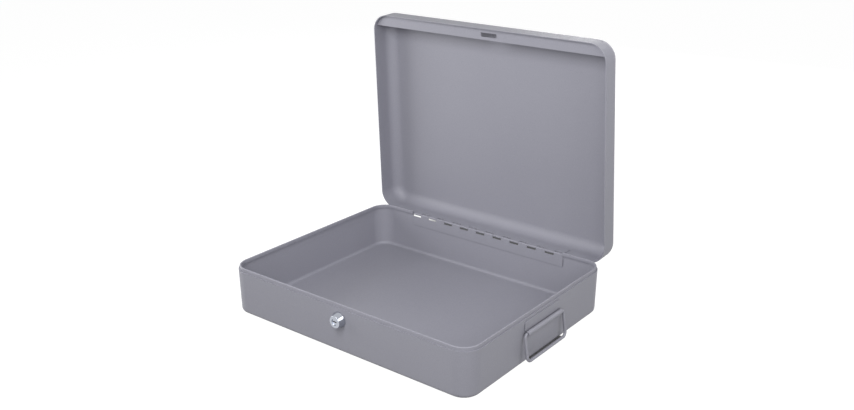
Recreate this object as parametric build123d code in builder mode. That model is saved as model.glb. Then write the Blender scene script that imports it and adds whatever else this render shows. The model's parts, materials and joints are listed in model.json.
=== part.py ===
"""Steel document box: a drawn base tray, a drawn lid on a piano hinge, a cam lock and two drop handles.

The box stands on the XY plane, centred on the origin. X is its width, the lock is on the -Y wall and
the hinge on the +Y wall. The lid stands open, the lock is undone and the handles hang.
"""

import os
from math import atan, cos, degrees, radians, sin, sqrt, tan

from build123d import *

# Drawn steel shells, in millimetres
box_width = 366.0
box_depth = 283.5
shoulder_height = 55.3
sheet = 1.0
corner_radius = 23.2
base_edge_radius = 5.0
wall_draft = 2.4
lip_inset = 1.3
lip_height = 4.5
hem_lift = 0.6
lip_rounding = 0.8
lid_depth = 34.0
lid_edge_radius = 14.7
lid_rim_gap = 0.2
lid_open_angle = 87.2

# Piano hinge
hinge_length = 247.5
knuckle_count = 18
knuckle_gap = 0.25
leaf_width = 15.8
leaf_thickness = 0.8
leaf_corner = 1.5
leaf_slot_depth = 3.4
pin_radius = 0.7
running_clearance = 0.05
hinge_notch_depth = 3.5
notch_end_gap = 0.6
stop_clearance = 0.1

# Lock striker plate in the lid
plate_lift = 5.0
plate_width = 15.3
plate_edge_gap = 0.1
plate_flange_length = 300.0
plate_flange_height = 9.0
slot_left_reach = 2.6
slot_depth = 5.6
slot_side_room = 2.9

# Cam lock
lock_drop = 13.9
lock_turn = 90.0
head_height = 8.0
head_base_radius = 9.5
head_base_rim = 0.6
head_face_radius = 7.2
head_rounding = 0.5
barrel_radius = 6.0
barrel_flats = 10.4
barrel_length = 8.2
hole_clearance = 0.1
nut_flats = 15.0
nut_thickness = 2.2
plug_radius = 4.0
plug_recess = 1.0
keyway_length = 5.6
keyway_width = 1.3
keyway_depth = 11.0
shank_side = 5.0
shank_clearance = 0.05
stop_washer_radius = 5.8
stop_washer_thickness = 0.8
stop_tab_inner_radius = 4.4
stop_tab_height = 1.0
stop_tab_angle = 24.0
stop_tab_play = 1.5
cam_thickness = 1.5
cam_hub_radius = 6.5
claw_width = 4.7
claw_tip_angle = 18.0
claw_root_angle = 25.0
claw_arm_angle = 8.0
claw_over_plate = 1.0
claw_rounding = 0.8
screw_radius = 1.25
screw_length = 4.5
screw_hole_room = 0.2
screw_head_radius = 2.7
screw_head_height = 1.6
screw_slot_width = 0.7
screw_slot_depth = 0.7
spring_washer_radius = 3.0
spring_washer_thickness = 0.5
spring_washer_split = 0.5

# Wafers inside the lock
wafer_count = 4
wafer_pitch = 2.0
wafer_front = 3.0
wafer_thickness = 0.6
wafer_length = 7.2
wafer_width = 3.0
wafer_play = 0.05
wafer_window_length = 3.4
wafer_window_width = 1.5
spring_notch_length = 2.4
spring_notch_width = 0.8
spring_radius = 0.3
groove_depth = 0.6
groove_end_room = 0.5
retainer_reach = 4.4
retainer_width = 2.4
retainer_thickness = 0.8
retainer_depth = 5.2

# Drop handles
handle_drop = 17.6
clip_sheet = 1.0
clip_width = 75.0
clip_rise = 14.4
clip_corner = 6.0
clip_foot_gap = 0.6
clip_seam = 0.4
wire_radius = 1.8
wire_clearance = 0.2
wire_end_gap = 0.4
bail_half_width = 40.2
bail_drop = 31.3
bail_rest_angle = 8.0
bail_top_bend = 4.0
bail_foot_bend = 6.0
tube_end_gap = 0.3

os.makedirs("parts", exist_ok=True)


def wall_inset(height):
    """How far the drafted base wall has come in at a height above the ground."""
    return wall_draft * (1 - height / shoulder_height)


def inset_outline(inset, mode=Mode.ADD):
    """The box outline seen from above, moved inwards by an inset."""
    return RectangleRounded(box_width - 2 * inset, box_depth - 2 * inset, corner_radius - inset, mode=mode)


def polar(radius, angle):
    """A point of a sketch at a radius and an angle in degrees."""
    return (radius * cos(radians(angle)), radius * sin(radians(angle)))


def keep_sector(radius, start, end):
    """Keeps of the sketch only a sector between two angles, out to this radius or more."""
    far = 2 * radius
    corners = [(0, 0), polar(far, start), polar(far, (start + end) / 2), polar(far, end)]
    Polygon(*corners, align=None, mode=Mode.INTERSECT)


# Directions of the drafted walls
draft_angle = degrees(atan(wall_draft / shoulder_height))
draft_cos = cos(radians(draft_angle))
draft_sin = sin(radians(draft_angle))

# Hinge line: the leaves lie on the inner faces of both back walls, their knuckles reach outwards
knuckle_radius = pin_radius + running_clearance + leaf_thickness
hinge_inset = sheet + leaf_thickness - knuckle_radius
hinge_y = box_depth / 2 - hinge_inset
rise_to_lean = hinge_inset * tan(radians(lid_open_angle / 2))
rise_to_roll = (hinge_inset**2 + lid_rim_gap**2) / (2 * lid_rim_gap)
hinge_z = shoulder_height + max(rise_to_lean, rise_to_roll) + stop_clearance

# The lid's own frame: its rim is the frame's XY plane, turned about the hinge line
rim_height = shoulder_height + lid_rim_gap
hinge_open = Plane(origin=(0, hinge_y, hinge_z)).rotated((-lid_open_angle, 0, 0))
rim_centre = hinge_open.from_local_coords((0, -hinge_y, rim_height - hinge_z))
lid_frame = Plane(origin=rim_centre, x_dir=hinge_open.x_dir, z_dir=hinge_open.z_dir)
lid_up = Axis(rim_centre, lid_frame.z_dir)
lid_back = Axis(rim_centre, lid_frame.y_dir)

# Heights of the lock and the handles, measured down from the shoulder
lock_height = shoulder_height - lock_drop
handle_height = shoulder_height - handle_drop

# The lock's frame: on the outer face of the front wall, Z outwards along the lock's axis, Y up
lock_wall = box_depth / 2 - wall_inset(lock_height)
lock_frame = Plane(origin=(0, -lock_wall, lock_height), x_dir=(1, 0, 0), z_dir=(0, -draft_cos, -draft_sin))
lock_section = Plane(origin=lock_frame.origin, x_dir=(1, 0, 0), z_dir=-lock_frame.y_dir)
lock_axis = Axis(lock_frame.origin, lock_frame.z_dir)

# Stack of the lock, as depths behind the outer face of the wall
plug_rear = barrel_length + running_clearance
cam_front = plug_rear + stop_washer_thickness
cam_rear = cam_front + cam_thickness
shank_rear = cam_rear - shank_clearance
washer_rear = cam_rear + spring_washer_thickness
cam_middle = cam_front + cam_thickness / 2


def lock_rise(height):
    """Distance along the wall from the lock's axis up to a height, at the depth of the cam."""
    return (height - lock_height - draft_sin * cam_middle) / draft_cos


# Claw and slot: the claw swings up through the slot and over the plate beside it
plate_under = rim_height + plate_lift
plate_over = plate_under + sheet
claw_inner_radius = (lock_rise(plate_over) + claw_over_plate) / cos(radians(claw_tip_angle))
claw_outer_radius = claw_inner_radius + claw_width
slot_right_reach = sqrt(claw_outer_radius**2 - lock_rise(plate_under) ** 2) + slot_side_room
slot_y = -lock_wall + draft_cos * cam_middle - draft_sin * lock_rise(plate_under + sheet / 2)


# Base tray: one drawn pan with leaning walls and a joggled lip, hemmed inwards
with BuildPart() as base_hollow:
    with BuildSketch(Plane.XY.offset(shoulder_height)):
        inset_outline(sheet)
    extrude(amount=sheet - shoulder_height, taper=draft_angle)
    fillet(base_hollow.faces().sort_by(Axis.Z)[0].edges(), base_edge_radius - sheet)

with BuildPart() as base_tray:
    with BuildSketch(Plane.XY.offset(shoulder_height)):
        inset_outline(0)
    extrude(amount=-shoulder_height, taper=draft_angle)
    fillet(base_tray.faces().sort_by(Axis.Z)[0].edges(), base_edge_radius)
    add(base_hollow.part, mode=Mode.SUBTRACT)
    with BuildSketch(Plane.XY.offset(shoulder_height - sheet)):
        inset_outline(wall_inset(shoulder_height - sheet) + sheet / 2)
        inset_outline(lip_inset + sheet, mode=Mode.SUBTRACT)
    extrude(amount=sheet)
    with BuildSketch(Plane.XY.offset(shoulder_height - sheet)):
        inset_outline(lip_inset)
        inset_outline(lip_inset + sheet, mode=Mode.SUBTRACT)
    extrude(amount=sheet + lip_height)
    with BuildSketch(Plane.XY.offset(shoulder_height + hem_lift)):
        inset_outline(lip_inset + sheet / 2)
        inset_outline(lip_inset + 2 * sheet, mode=Mode.SUBTRACT)
    extrude(amount=lip_height - hem_lift)
    fillet(base_tray.faces().sort_by(Axis.Z)[-1].edges(), lip_rounding)
    with BuildSketch(Plane.XY.offset(shoulder_height - hinge_notch_depth)):
        with Locations((0, box_depth / 2)):
            Rectangle(hinge_length + 2 * notch_end_gap, 4 * (lip_inset + 2 * sheet))
    extrude(amount=hinge_notch_depth + 2 * lip_height, mode=Mode.SUBTRACT)
    with BuildSketch(lock_frame):
        Circle(barrel_radius + hole_clearance)
        Rectangle(barrel_flats + 2 * hole_clearance, box_width, mode=Mode.INTERSECT)
    extrude(amount=2 * sheet, both=True, mode=Mode.SUBTRACT)
base_tray.part.label = "base_tray"
export_step(base_tray.part, "parts/base_tray.step")

# Lid shell: a shallow drawn pan with a large edge radius, notched where the knuckles stand
with BuildPart() as lid_hollow:
    with BuildSketch(lid_frame):
        inset_outline(sheet)
    extrude(amount=lid_depth - sheet)
    fillet(lid_hollow.faces().sort_by(lid_up)[-1].edges(), lid_edge_radius - sheet)

with BuildPart() as lid_shell:
    with BuildSketch(lid_frame):
        inset_outline(0)
    extrude(amount=lid_depth)
    fillet(lid_shell.faces().sort_by(lid_up)[-1].edges(), lid_edge_radius)
    add(lid_hollow.part, mode=Mode.SUBTRACT)
    with BuildSketch(lid_frame):
        with Locations((0, box_depth / 2)):
            Rectangle(hinge_length + 2 * notch_end_gap, 4 * sheet)
    extrude(amount=hinge_notch_depth, mode=Mode.SUBTRACT)
lid_shell.part.label = "lid_shell"
export_step(lid_shell.part, "parts/lid_shell.step")

# Striker plate: a strip across the front of the lid, with the claw's slot and a flange on the skirt
with BuildPart() as lid_lock_plate:
    with BuildSketch(lid_frame.offset(plate_lift)):
        inset_outline(sheet + plate_edge_gap)
        with Locations((0, sheet + plate_width / 2 - box_depth / 2)):
            Rectangle(box_width, plate_width, mode=Mode.INTERSECT)
        with Locations(((slot_right_reach - slot_left_reach) / 2, slot_y)):
            Rectangle(slot_right_reach + slot_left_reach, slot_depth, mode=Mode.SUBTRACT)
    extrude(amount=sheet)
    with BuildSketch(lid_frame.offset(plate_lift)):
        with Locations((0, 1.5 * sheet - box_depth / 2)):
            Rectangle(plate_flange_length, sheet)
    extrude(amount=plate_flange_height)
lid_lock_plate.part.label = "lid_lock_plate"
export_step(lid_lock_plate.part, "parts/lid_lock_plate.step")


def hinge_section(x, x_dir):
    """A plane across the hinge line at x, with its own X along the leaf's back-to-front direction."""
    return Plane(origin=(x, hinge_y, hinge_z), x_dir=x_dir, z_dir=(1, 0, 0))


def leaf_strip(side, lean, near, far):
    """Cross-section of a leaf between two distances from the hinge line, below it (-1) or above it (1)."""
    front = -knuckle_radius
    back = front + leaf_thickness
    start, end = side * near, side * far
    shift_near, shift_far = lean * near, lean * far
    corners = [
        (front - shift_near, start),
        (back - shift_near, start),
        (back - shift_far, end),
        (front - shift_far, end),
    ]
    return Polygon(*corners, align=None)


knuckle_pitch = hinge_length / knuckle_count
knuckle_length = knuckle_pitch - knuckle_gap
hinge_start = -hinge_length / 2
knuckle_starts = [hinge_start + knuckle_pitch * i + knuckle_gap / 2 for i in range(knuckle_count)]
wall_lean = wall_draft / shoulder_height

# Base leaf: its knuckles are every second one, ending at the right end of the hinge
with BuildPart() as hinge_base_leaf:
    with BuildSketch(hinge_section(hinge_start, (0, 1, 0))):
        leaf_strip(-1, wall_lean, leaf_slot_depth, leaf_width)
    extrude(amount=hinge_length)
    lower_corners = hinge_base_leaf.edges().filter_by(Axis.Y).group_by(Axis.Z)[0]
    fillet(lower_corners, leaf_corner)
    for x in knuckle_starts[1::2]:
        with BuildSketch(hinge_section(x, (0, 1, 0))):
            Circle(knuckle_radius)
            leaf_strip(-1, wall_lean, 0, leaf_slot_depth)
            Circle(pin_radius + running_clearance, mode=Mode.SUBTRACT)
        extrude(amount=knuckle_length)
hinge_base_leaf.part.label = "hinge_base_leaf"
export_step(hinge_base_leaf.part, "parts/hinge_base_leaf.step")

# Lid leaf: the other knuckles, starting at the left end of the hinge
with BuildPart() as hinge_lid_leaf:
    with BuildSketch(hinge_section(hinge_start, lid_frame.y_dir)):
        leaf_strip(1, 0, leaf_slot_depth, leaf_width)
    extrude(amount=hinge_length)
    upper_corners = hinge_lid_leaf.edges().filter_by(lid_back).group_by(lid_up)[-1]
    fillet(upper_corners, leaf_corner)
    for x in knuckle_starts[0::2]:
        with BuildSketch(hinge_section(x, lid_frame.y_dir)):
            Circle(knuckle_radius)
            leaf_strip(1, 0, 0, leaf_slot_depth)
            Circle(pin_radius + running_clearance, mode=Mode.SUBTRACT)
        extrude(amount=knuckle_length)
hinge_lid_leaf.part.label = "hinge_lid_leaf"
export_step(hinge_lid_leaf.part, "parts/hinge_lid_leaf.step")

# Hinge pin: one wire through all the knuckles
with BuildPart() as hinge_pin:
    with BuildSketch(hinge_section(hinge_start, (0, 1, 0))):
        Circle(pin_radius)
    extrude(amount=hinge_length)
hinge_pin.part.label = "hinge_pin"
export_step(hinge_pin.part, "parts/hinge_pin.step")

# Lock housing: a conical head outside the wall, a flatted barrel through it
with BuildPart() as lock_housing:
    with BuildSketch(lock_section):
        with BuildLine():
            Polyline(
                (0, -barrel_length),
                (barrel_radius, -barrel_length),
                (barrel_radius, 0),
                (head_base_radius, 0),
                (head_base_radius, head_base_rim),
                (head_face_radius, head_height),
                (0, head_height),
                close=True,
            )
        make_face()
    revolve(axis=lock_axis)
    fillet(lock_housing.edges().sort_by(lock_axis)[-1], head_rounding)
    with BuildSketch(lock_frame):
        Circle(head_base_radius)
        Rectangle(barrel_flats, box_width, mode=Mode.SUBTRACT)
    extrude(amount=-2 * barrel_length, mode=Mode.SUBTRACT)
    with BuildSketch(lock_frame.offset(head_height)):
        Circle(plug_radius + running_clearance)
    extrude(amount=-2 * (head_height + barrel_length), mode=Mode.SUBTRACT)
    with BuildSketch(lock_frame.offset(wafer_front + groove_end_room)):
        with PolarLocations(plug_radius, 4):
            Rectangle(2 * groove_depth, wafer_width + 4 * wafer_play)
    groove_length = wafer_pitch * (wafer_count - 1) + wafer_thickness + 2 * groove_end_room
    extrude(amount=-groove_length, mode=Mode.SUBTRACT)
    with BuildSketch(lock_frame.offset(-retainer_depth + wafer_play)):
        Circle(retainer_reach + running_clearance)
    extrude(amount=-retainer_thickness - 2 * wafer_play, mode=Mode.SUBTRACT)
    with BuildSketch(lock_frame.offset(-barrel_length)):
        Circle(barrel_radius)
        half_tab = stop_tab_angle / 2 + stop_tab_play
        keep_sector(barrel_radius, 90 - lock_turn - half_tab, 90 + half_tab)
    extrude(amount=stop_tab_height + hole_clearance, mode=Mode.SUBTRACT)
lock_housing.part.label = "lock_housing"
export_step(lock_housing.part, "parts/lock_housing.step")

# Lock nut: a thin hexagon that pulls the housing onto the wall
with BuildPart() as lock_nut:
    with BuildSketch(lock_frame.offset(-sheet)):
        RegularPolygon(nut_flats / 2, 6, major_radius=False, rotation=30)
        Circle(barrel_radius + running_clearance, mode=Mode.SUBTRACT)
    extrude(amount=-nut_thickness)
lock_nut.part.label = "lock_nut"
export_step(lock_nut.part, "parts/lock_nut.step")

# Lock plug: keyway in front, wafer slots across it, a square shank behind
wafer_heights = [wafer_front - wafer_pitch * i for i in range(wafer_count)]
with BuildPart() as lock_plug:
    with BuildSketch(lock_frame.offset(head_height - plug_recess)):
        Circle(plug_radius)
    extrude(amount=-(head_height - plug_recess + plug_rear))
    with BuildSketch(lock_frame.offset(-plug_rear)):
        Rectangle(shank_side, shank_side)
    extrude(amount=plug_rear - shank_rear)
    with BuildSketch(lock_frame.offset(head_height - plug_recess)):
        SlotOverall(keyway_length, keyway_width)
    extrude(amount=-keyway_depth, mode=Mode.SUBTRACT)
    for height in wafer_heights:
        with BuildSketch(lock_frame.offset(height + wafer_play)):
            Rectangle(2 * plug_radius, wafer_width + 2 * wafer_play)
        extrude(amount=-wafer_thickness - 2 * wafer_play, mode=Mode.SUBTRACT)
    with BuildSketch(lock_frame.offset(wafer_play - retainer_depth)):
        with Locations((plug_radius / 2, 0)):
            Rectangle(plug_radius + 2 * wafer_play, retainer_width + 2 * wafer_play)
    extrude(amount=-retainer_thickness - 2 * wafer_play, mode=Mode.SUBTRACT)
    with BuildSketch(lock_frame.offset(-shank_rear)):
        Circle(screw_radius + running_clearance)
    extrude(amount=shank_rear - washer_rear + screw_length + screw_hole_room, mode=Mode.SUBTRACT)
lock_plug.part.label = "lock_plug"
export_step(lock_plug.part, "parts/lock_plug.step")

# Lock wafers: thin plates in the plug's slots, each with a key window and a notch for its spring
with BuildPart() as lock_wafers:
    for height in wafer_heights:
        with BuildSketch(lock_frame.offset(height)):
            Rectangle(wafer_length, wafer_width)
            SlotOverall(wafer_window_length, wafer_window_width, mode=Mode.SUBTRACT)
            with Locations((-wafer_length / 2, -wafer_width / 2)):
                Rectangle(2 * spring_notch_length, 2 * spring_notch_width, mode=Mode.SUBTRACT)
        extrude(amount=-wafer_thickness)
lock_wafers.part.label = "lock_wafers"
export_step(lock_wafers.part, "parts/lock_wafers.step")

# Wafer springs: one in the notch of each wafer, lying across the plug
spring_side = Plane(origin=lock_frame.origin, x_dir=lock_frame.y_dir, z_dir=lock_frame.x_dir)
with BuildPart() as wafer_springs:
    with BuildSketch(spring_side.offset(-wafer_length / 2 + wafer_play)):
        for height in wafer_heights:
            with Locations((spring_notch_width / 2 - wafer_width / 2, height - wafer_thickness / 2)):
                Circle(spring_radius - wafer_play)
    extrude(amount=spring_notch_length - 2 * wafer_play)
wafer_springs.part.label = "wafer_springs"
export_step(wafer_springs.part, "parts/wafer_springs.step")

# Plug retainer: a plate in the plug that runs in a groove of the housing
with BuildPart() as plug_retainer:
    with BuildSketch(lock_frame.offset(-retainer_depth)):
        Circle(retainer_reach)
        with Locations((plug_radius / 2 + retainer_reach, 0)):
            Rectangle(plug_radius + 2 * retainer_reach, retainer_width, mode=Mode.INTERSECT)
    extrude(amount=-retainer_thickness)
plug_retainer.part.label = "plug_retainer"
export_step(plug_retainer.part, "parts/plug_retainer.step")

# Stop washer: on the plug's square shank, its tab runs in the notch at the housing's rear
with BuildPart() as cam_stop_washer:
    with BuildSketch(lock_frame.offset(-plug_rear)):
        Circle(stop_washer_radius)
    extrude(amount=-stop_washer_thickness)
    with BuildSketch(lock_frame.offset(-plug_rear)):
        Circle(stop_washer_radius)
        Circle(stop_tab_inner_radius, mode=Mode.SUBTRACT)
        tab_start = 90 - lock_turn - stop_tab_angle / 2
        keep_sector(stop_washer_radius, tab_start, tab_start + stop_tab_angle)
    extrude(amount=stop_tab_height)
    with BuildSketch(lock_frame.offset(-plug_rear)):
        Rectangle(shank_side + 2 * shank_clearance, shank_side + 2 * shank_clearance)
    extrude(amount=-stop_washer_thickness, mode=Mode.SUBTRACT)
cam_stop_washer.part.label = "cam_stop_washer"
export_step(cam_stop_washer.part, "parts/cam_stop_washer.step")

# Lock cam: an arm with a claw that leads it round, lying to the right while the lock is undone
claw_start = 90 - claw_root_angle - lock_turn
claw_end = 90 + claw_tip_angle - lock_turn
arm_end = 90 - claw_arm_angle - lock_turn
with BuildPart() as lock_cam:
    with BuildSketch(lock_frame.offset(-cam_front)):
        Circle(claw_outer_radius)
        Circle(claw_inner_radius, mode=Mode.SUBTRACT)
        keep_sector(claw_outer_radius, claw_start, claw_end)
        claw_middle = (claw_inner_radius + claw_outer_radius) / 2
        Polygon((0, 0), polar(claw_middle, claw_start), polar(claw_middle, arm_end), align=None)
        Circle(cam_hub_radius)
        Rectangle(shank_side + 2 * shank_clearance, shank_side + 2 * shank_clearance, mode=Mode.SUBTRACT)
    extrude(amount=-cam_thickness)
    outer_corners = lock_cam.edges().filter_by(lock_axis).sort_by_distance(lock_frame.origin)[-2:]
    fillet(outer_corners, claw_rounding)
lock_cam.part.label = "lock_cam"
export_step(lock_cam.part, "parts/lock_cam.step")

# Spring washer: split ring under the screw's head
with BuildPart() as cam_spring_washer:
    with BuildSketch(lock_frame.offset(-cam_rear)):
        Circle(spring_washer_radius)
        Circle(screw_radius + hole_clearance, mode=Mode.SUBTRACT)
        with Locations((spring_washer_radius, 0)):
            Rectangle(2 * spring_washer_radius, spring_washer_split, mode=Mode.SUBTRACT)
    extrude(amount=-spring_washer_thickness)
cam_spring_washer.part.label = "cam_spring_washer"
export_step(cam_spring_washer.part, "parts/cam_spring_washer.step")

# Cam screw: slotted pan head, its shank in the plug
with BuildPart() as cam_screw:
    with BuildSketch(lock_frame.offset(-washer_rear)):
        Circle(screw_head_radius)
    extrude(amount=-screw_head_height)
    fillet(cam_screw.edges().sort_by(lock_axis)[0], screw_head_height / 3)
    with BuildSketch(lock_frame.offset(-washer_rear)):
        Circle(screw_radius)
    extrude(amount=screw_length)
    with BuildSketch(lock_frame.offset(-washer_rear - screw_head_height)):
        Rectangle(3 * screw_head_radius, screw_slot_width)
    extrude(amount=screw_slot_depth, mode=Mode.SUBTRACT)
cam_screw.part.label = "cam_screw"
export_step(cam_screw.part, "parts/cam_screw.step")

# Handle clips and bails: the same on both side walls
tube_radius = wire_radius + wire_clearance + clip_sheet
tube_length = 2 * (bail_half_width - bail_top_bend - tube_end_gap)
handle_wall = box_width / 2 - wall_inset(handle_height)
pivot_reach = handle_wall + draft_cos * tube_radius
pivot_height = handle_height - draft_sin * tube_radius
rest_cos = cos(radians(bail_rest_angle))
rest_sin = sin(radians(bail_rest_angle))
bail_route = [
    (wire_end_gap / 2, 0),
    (bail_half_width, 0),
    (bail_half_width, -bail_drop),
    (-bail_half_width, -bail_drop),
    (-bail_half_width, 0),
    (-wire_end_gap / 2, 0),
]
for side, name in ((1, "right"), (-1, "left")):
    wall = Plane(
        origin=(side * handle_wall, 0, handle_height),
        x_dir=(0, side, 0),
        z_dir=(side * draft_cos, 0, -draft_sin),
    )
    tube_end = wall.from_local_coords((tube_length / 2, 0, 0))
    tube_section = Plane(origin=tube_end, x_dir=wall.z_dir, z_dir=-wall.x_dir)
    plate_foot = tube_radius + clip_foot_gap
    with BuildPart() as handle_clip:
        with BuildSketch(wall) as plate:
            with Locations((0, (plate_foot + clip_rise) / 2)):
                Rectangle(clip_width, clip_rise - plate_foot)
            fillet(plate.vertices().group_by(Axis.Y)[-1], clip_corner)
        extrude(amount=clip_sheet)
        with BuildSketch(tube_section):
            with Locations((tube_radius, 0)):
                Circle(tube_radius)
            with Locations((clip_sheet / 2, plate_foot / 2)):
                Rectangle(clip_sheet, plate_foot)
            with Locations((tube_radius, 0)):
                Circle(tube_radius - clip_sheet, mode=Mode.SUBTRACT)
            with Locations((clip_sheet + clip_seam / 2, tube_radius)):
                Rectangle(clip_seam, 2 * clip_sheet + clip_seam, mode=Mode.SUBTRACT)
        extrude(amount=tube_length)
    handle_clip.part.label = f"handle_clip_{name}"
    export_step(handle_clip.part, f"parts/handle_clip_{name}.step")

    hang = Plane(
        origin=(side * pivot_reach, 0, pivot_height),
        x_dir=(0, side, 0),
        z_dir=(side * rest_cos, 0, rest_sin),
    )
    with BuildPart() as handle_bail:
        with BuildLine(hang) as wire:
            bends = [bail_top_bend, bail_foot_bend, bail_foot_bend, bail_top_bend]
            FilletPolyline(*bail_route, radius=bends)
        with BuildSketch(Plane(origin=wire.line @ 0, z_dir=wire.line % 0)):
            Circle(wire_radius)
        sweep()
    handle_bail.part.label = f"handle_bail_{name}"
    export_step(handle_bail.part, f"parts/handle_bail_{name}.step")
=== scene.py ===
"""Looks of the steel document box: camera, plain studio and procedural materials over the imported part."""

import json
from math import cos, radians, sin

import bpy
from mathutils import Matrix, Vector

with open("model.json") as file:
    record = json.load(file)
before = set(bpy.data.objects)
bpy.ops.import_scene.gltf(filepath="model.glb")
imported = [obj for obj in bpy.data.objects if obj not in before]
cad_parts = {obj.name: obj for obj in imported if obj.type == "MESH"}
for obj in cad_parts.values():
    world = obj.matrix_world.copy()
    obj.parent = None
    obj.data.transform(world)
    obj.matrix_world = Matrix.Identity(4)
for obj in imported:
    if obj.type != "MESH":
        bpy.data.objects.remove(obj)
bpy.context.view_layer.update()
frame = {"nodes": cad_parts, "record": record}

scene = bpy.context.scene
scene.view_settings.view_transform = "Standard"

# Camera fitted to the photograph's edges: pixels, degrees and metres
image_width = 854
focal_pixels = 1002.15
centre_right = 40.58
centre_down = -138.12
camera_yaw = 36.591
camera_pitch = 12.302
camera_roll = 0.247
camera_distance = 1.24146
aim_right = -0.060104
aim_up = -0.244269
aim_height = 0.06
sensor_width = 36.0


def make_camera():
    """Stands the camera on the fitted yaw and pitch, with the image centre moved as in the photograph."""
    yaw, pitch, roll = radians(camera_yaw), radians(camera_pitch), radians(camera_roll)
    away = Vector((sin(yaw) * cos(pitch), -cos(yaw) * cos(pitch), sin(pitch)))
    level_right = (-away).cross(Vector((0, 0, 1))).normalized()
    level_up = level_right.cross(-away)
    place = Vector((0, 0, aim_height)) + away * camera_distance - level_right * aim_right - level_up * aim_up
    right = level_right * cos(roll) + level_up * sin(roll)
    up = level_up * cos(roll) - level_right * sin(roll)
    data = bpy.data.cameras.new("photo_camera")
    data.sensor_width = sensor_width
    data.sensor_fit = "HORIZONTAL"
    data.lens = focal_pixels / image_width * sensor_width
    data.shift_x = -centre_right / image_width
    data.shift_y = centre_down / image_width
    data.clip_start = 0.05
    data.clip_end = 20.0
    camera = bpy.data.objects.new("photo_camera", data)
    turn = Matrix((right, up, away)).transposed()
    camera.matrix_world = Matrix.Translation(place) @ turn.to_4x4()
    scene.collection.objects.link(camera)
    scene.camera = camera


make_camera()


# Node helpers
def new_material(name):
    """An empty node material with its output."""
    material = bpy.data.materials.new(name)
    material.use_nodes = True
    material.node_tree.nodes.clear()
    output = material.node_tree.nodes.new("ShaderNodeOutputMaterial")
    return material, material.node_tree, output


def math_node(tree, operation, first, second):
    """The result of a calculation with two inputs, each a socket or a number."""
    node = tree.nodes.new("ShaderNodeMath")
    node.operation = operation
    for socket, value in zip(node.inputs, (first, second)):
        if isinstance(value, (int, float)):
            socket.default_value = value
        else:
            tree.links.new(value, socket)
    return node.outputs[0]


def vector_math(tree, operation, first, second=None):
    """The result of a vector calculation on a socket and, where it needs one, a fixed vector."""
    node = tree.nodes.new("ShaderNodeVectorMath")
    node.operation = operation
    tree.links.new(first, node.inputs[0])
    if second is not None:
        node.inputs[1].default_value = second
    return node.outputs["Value" if operation == "LENGTH" else "Vector"]


def own_place(tree):
    """The place of each point in the part's own frame, so that nothing slides when a piece moves."""
    return tree.nodes.new("ShaderNodeTexCoord").outputs["Object"]


def object_noise(tree, scale, detail=3.0):
    """Noise fixed to the piece; scale is in waves per metre."""
    noise = tree.nodes.new("ShaderNodeTexNoise")
    noise.inputs["Scale"].default_value = scale
    noise.inputs["Detail"].default_value = detail
    tree.links.new(own_place(tree), noise.inputs["Vector"])
    return noise.outputs["Fac"]


def ramp(tree, source, stops):
    """A colour ramp over a factor; stops are (position, linear colour)."""
    node = tree.nodes.new("ShaderNodeValToRGB")
    points = node.color_ramp.elements
    points[0].position, points[0].color = stops[0][0], (*stops[0][1], 1)
    points[1].position, points[1].color = stops[-1][0], (*stops[-1][1], 1)
    for position, colour in stops[1:-1]:
        point = points.new(position)
        point.color = (*colour, 1)
    tree.links.new(source, node.inputs["Fac"])
    return node.outputs["Color"]


def map_range(tree, source, before, after, curve="LINEAR"):
    """A factor taken from one range to another; each range is (low, high)."""
    node = tree.nodes.new("ShaderNodeMapRange")
    node.interpolation_type = curve
    for name, value in zip(("From Min", "From Max", "To Min", "To Max"), (*before, *after)):
        node.inputs[name].default_value = value
    tree.links.new(source, node.inputs["Value"])
    return node.outputs["Result"]


def bump(tree, source, height, onto=None):
    """A bump of a real height in metres."""
    node = tree.nodes.new("ShaderNodeBump")
    node.inputs["Strength"].default_value = 1.0
    node.inputs["Distance"].default_value = height
    tree.links.new(source, node.inputs["Height"])
    if onto is not None:
        tree.links.new(onto, node.inputs["Normal"])
    return node.outputs["Normal"]


def multiplied(tree, first, second, amount=None):
    """One colour multiplied by another, wholly or by an amount from a socket."""
    mix = tree.nodes.new("ShaderNodeMix")
    mix.data_type = "RGBA"
    mix.blend_type = "MULTIPLY"
    mix.inputs["Factor"].default_value = 1.0
    if amount is not None:
        tree.links.new(amount, mix.inputs["Factor"])
    tree.links.new(first, mix.inputs["A"])
    tree.links.new(second, mix.inputs["B"])
    return mix.outputs["Result"]


def scaled(colour, factor):
    """A colour made lighter or darker."""
    return tuple(c * factor for c in colour)


# Most of a noise lies between these values
noise_range = (0.3, 0.7)

# Satin powder coat: scales in waves per metre, heights in metres, colours linear
paint_colour = (0.289, 0.288, 0.332)
speckle_scale = 1600.0
speckle_contrast = 0.07
speckle_height = 0.00001
cloud_scale = 9.0
cloud_shade = (0.965, 0.965, 0.97)
cloud_light = (1.0, 1.0, 1.0)
peel_scale = 700.0
peel_height = 0.00003
sheen_scale = 420.0

# Painted shade in creases and beside steps of the paint: its reach, its strength on the walls and on the
# lip, and the lip's bend
crease_shade_reach = 0.002
wall_crease_shade = 0.65
lip_crease_shade = 0.2
lip_foot = 0.0485
lip_bend = 0.0015


def painted_crease_shade(tree):
    """1 on open sheet and less beside a crease or a step, where the colour gets painted shade by how closed
    in the point is.
    """
    node = tree.nodes.new("ShaderNodeAmbientOcclusion")
    node.samples = 8
    node.inputs["Distance"].default_value = crease_shade_reach
    return node.outputs["AO"]


def crease_shade_share(tree):
    """How much of the painted crease shade shows: most on the base's walls, less on its lip and on the lid.
    """
    axes = tree.nodes.new("ShaderNodeSeparateXYZ")
    tree.links.new(own_place(tree), axes.inputs[0])
    return map_range(tree, axes.outputs["Z"], (lip_foot, lip_foot + lip_bend), (wall_crease_shade, lip_crease_shade))


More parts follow.
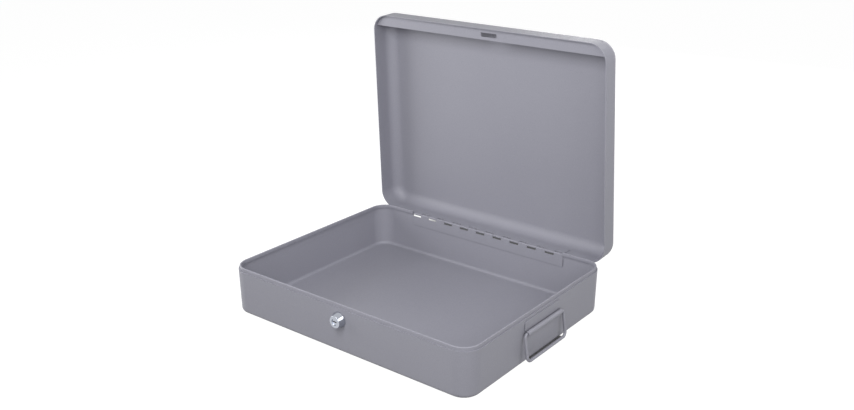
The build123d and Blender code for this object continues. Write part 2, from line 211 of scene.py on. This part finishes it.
def powder_coat(name, colour, gloss):
    """Sprayed grey paint: fine speckle, faint clouds, shallow orange peel and painted shade in its creases.
    """
    material, tree, output = new_material(name)
    shader = tree.nodes.new("ShaderNodeBsdfPrincipled")
    speckle = object_noise(tree, speckle_scale, 2.0)
    dark, light = scaled(colour, 1 - speckle_contrast), scaled(colour, 1 + speckle_contrast)
    fine = ramp(tree, speckle, [(0.3, dark), (0.5, colour), (0.7, light)])
    broad = ramp(tree, object_noise(tree, cloud_scale), [(0.3, cloud_shade), (0.7, cloud_light)])
    # Speckle and clouds are the paint's own tone; the ambient occlusion factor multiplies in painted shade
    # at creases and steps.
    coloured_and_shaded = multiplied(tree, multiplied(tree, fine, broad), painted_crease_shade(tree), crease_shade_share(tree))
    tree.links.new(coloured_and_shaded, shader.inputs["Base Color"])
    sheen = map_range(tree, object_noise(tree, sheen_scale), noise_range, (gloss - 0.04, gloss + 0.05))
    tree.links.new(sheen, shader.inputs["Roughness"])
    peel = bump(tree, object_noise(tree, peel_scale, 2.0), peel_height)
    tree.links.new(bump(tree, speckle, speckle_height, peel), shader.inputs["Normal"])
    shader.inputs["Specular IOR Level"].default_value = 0.4
    tree.links.new(shader.outputs["BSDF"], output.inputs["Surface"])
    return material


def plated(name, colour, gloss, grain_scale, grain_height):
    """Plated or bright metal with faint polishing marks."""
    material, tree, output = new_material(name)
    shader = tree.nodes.new("ShaderNodeBsdfPrincipled")
    shader.inputs["Metallic"].default_value = 1.0
    tone = object_noise(tree, grain_scale)
    shade = ramp(tree, tone, [(0.35, scaled(colour, 0.95)), (0.65, colour)])
    tree.links.new(shade, shader.inputs["Base Color"])
    marks = object_noise(tree, grain_scale * 0.4)
    sheen = map_range(tree, marks, noise_range, (gloss * 0.7, gloss * 1.3))
    tree.links.new(sheen, shader.inputs["Roughness"])
    tree.links.new(bump(tree, tone, grain_height), shader.inputs["Normal"])
    tree.links.new(shader.outputs["BSDF"], output.inputs["Surface"])
    return material


slot_materials = {
    "painted_shell": powder_coat("powder_coat_shell", paint_colour, 0.47),
    "painted_hinge": powder_coat("powder_coat_hinge", scaled(paint_colour, 0.98), 0.46),
    "painted_handle": powder_coat("powder_coat_handle", scaled(paint_colour, 0.98), 0.46),
    "lock_chrome": plated("bright_chrome", (0.42, 0.44, 0.49), 0.06, 900.0, 0.000001),
    "plug_nickel": plated("satin_nickel", (0.41, 0.43, 0.48), 0.16, 1400.0, 0.000003),
    "bright_steel": plated("zinc_plate", (0.62, 0.63, 0.65), 0.32, 1100.0, 0.000004),
    "wafer_brass": plated("rolled_brass", (0.70, 0.52, 0.22), 0.28, 1200.0, 0.000003),
}
slot_of_node = {part["node"]: part["material_slot"] for part in frame["record"]["subparts"]}

for name, node in frame["nodes"].items():
    node.data.materials.clear()
    node.data.materials.append(slot_materials[slot_of_node[name]])


# Studio: pale floor, white surround and six soft lamps around the box
dome_strength = 0.11
floor_half_side = 6.0
floor_tone = 0.2
floor_lift = 0.96
lamp_aim = Vector((0, 0, 0.1))
square = ((-1, -1), (1, -1), (1, 1), (-1, 1))

# Shaded floor at the foot of the back wall and behind the hanging bail: centre, half size, soft edge
behind_box = ((-0.048, 0.188), (0.103, 0.063), 0.05)
under_bail = ((0.178, 0.012), (0.004, 0.033), 0.003)


def camera_sees(tree):
    """1 for rays that show the surround: from the camera, in a reflection or through glass."""
    path = tree.nodes.new("ShaderNodeLightPath")
    direct = math_node(tree, "MAXIMUM", path.outputs["Is Camera Ray"], path.outputs["Is Glossy Ray"])
    return math_node(tree, "MAXIMUM", direct, path.outputs["Is Transmission Ray"])


def outside_shade(tree, centre, half, softness):
    """0 on a rectangle of the floor that shows its own shade, 1 away from it, with a soft edge between."""
    shifted = vector_math(tree, "SUBTRACT", own_place(tree), (*centre, 0))
    beyond = vector_math(tree, "SUBTRACT", vector_math(tree, "ABSOLUTE", shifted), (*half, 0))
    distance = vector_math(tree, "LENGTH", vector_math(tree, "MAXIMUM", beyond, (0, 0, 0)))
    return map_range(tree, distance, (0, softness), (0, 1), "SMOOTHSTEP")


def make_surround():
    """A dome of even white light, shown as plain white."""
    world = bpy.data.worlds.new("studio")
    scene.world = world
    world.use_nodes = True
    tree = world.node_tree
    tree.nodes.clear()
    output = tree.nodes.new("ShaderNodeOutputWorld")
    mix = tree.nodes.new("ShaderNodeMixShader")
    tree.links.new(camera_sees(tree), mix.inputs["Fac"])
    for socket, strength in zip(mix.inputs[1:], (dome_strength, 1.0)):
        light = tree.nodes.new("ShaderNodeBackground")
        light.inputs["Color"].default_value = (1, 1, 1, 1)
        light.inputs["Strength"].default_value = strength
        tree.links.new(light.outputs[0], socket)
    tree.links.new(mix.outputs[0], output.inputs["Surface"])


def make_floor():
    """A plain floor at the part's resting face, lifted to white except on its two shaded rectangles."""
    mesh = bpy.data.meshes.new("floor")
    corners = [(x * floor_half_side, y * floor_half_side, 0) for x, y in square]
    mesh.from_pydata(corners, [], [(0, 1, 2, 3)])
    floor = bpy.data.objects.new("floor", mesh)
    scene.collection.objects.link(floor)
    material, tree, output = new_material("pale_floor")
    matt = tree.nodes.new("ShaderNodeBsdfDiffuse")
    matt.inputs["Color"].default_value = (floor_tone, floor_tone, floor_tone, 1)
    white = tree.nodes.new("ShaderNodeEmission")
    shown = math_node(tree, "MULTIPLY", camera_sees(tree), floor_lift)
    for patch in (behind_box, under_bail):
        shown = math_node(tree, "MULTIPLY", shown, outside_shade(tree, *patch))
    tree.links.new(shown, white.inputs["Strength"])
    both = tree.nodes.new("ShaderNodeAddShader")
    tree.links.new(matt.outputs[0], both.inputs[0])
    tree.links.new(white.outputs[0], both.inputs[1])
    tree.links.new(both.outputs[0], output.inputs["Surface"])
    mesh.materials.append(material)


def black_cloth():
    """The matt black cloth round a softbox."""
    material, tree, output = new_material("black_cloth")
    shader = tree.nodes.new("ShaderNodeBsdfDiffuse")
    threads = object_noise(tree, 300.0)
    weave = ramp(tree, threads, [(0.3, (0.008, 0.008, 0.008)), (0.7, (0.014, 0.014, 0.014))])
    tree.links.new(weave, shader.inputs["Color"])
    tree.links.new(shader.outputs[0], output.inputs["Surface"])
    return material


def make_rim(lamp, width):
    """The black rim of a softbox, a flat square ring round its front that only reflections show."""
    half_side = lamp.data.size / 2
    points = [(x * half, y * half, 0) for half in (half_side, half_side + width) for x, y in square]
    mesh = bpy.data.meshes.new(lamp.name + "_rim")
    mesh.from_pydata(points, [], [(i, (i + 1) % 4, (i + 1) % 4 + 4, i + 4) for i in range(4)])
    mesh.materials.append(black_cloth())
    rim = bpy.data.objects.new(lamp.name + "_rim", mesh)
    rim.location = lamp.location
    rim.rotation_euler = lamp.rotation_euler
    rim.visible_camera = False
    scene.collection.objects.link(rim)


def soft_lamp(name, azimuth, elevation, distance, size, watts):
    """A square softbox aimed at the box's middle; azimuth is from the lock wall towards the right."""
    around, above = radians(azimuth), radians(elevation)
    reach = Vector((sin(around) * cos(above), -cos(around) * cos(above), sin(above)))
    data = bpy.data.lights.new(name, "AREA")
    data.shape = "SQUARE"
    data.size = size
    data.energy = watts
    lamp = bpy.data.objects.new(name, data)
    lamp.location = lamp_aim + reach * distance
    lamp.rotation_euler = (-reach).to_track_quat("-Z", "Y").to_euler()
    scene.collection.objects.link(lamp)
    return lamp


make_surround()
make_floor()
soft_lamp("left_softbox", azimuth=-70, elevation=12, distance=0.85, size=0.45, watts=3.1)
soft_lamp("front_softbox", azimuth=8, elevation=44, distance=0.85, size=0.45, watts=5.2)
soft_lamp("near_right_softbox", azimuth=40, elevation=15, distance=1.6, size=1.0, watts=7.4)
soft_lamp("right_softbox", azimuth=90, elevation=30, distance=0.85, size=0.45, watts=2.6)
soft_lamp("back_softbox", azimuth=-172, elevation=20, distance=1.6, size=1.0, watts=9.0)
rimmed = soft_lamp("back_right_softbox", azimuth=120, elevation=42, distance=1.5, size=0.6, watts=2.3)
make_rim(rimmed, width=0.2)
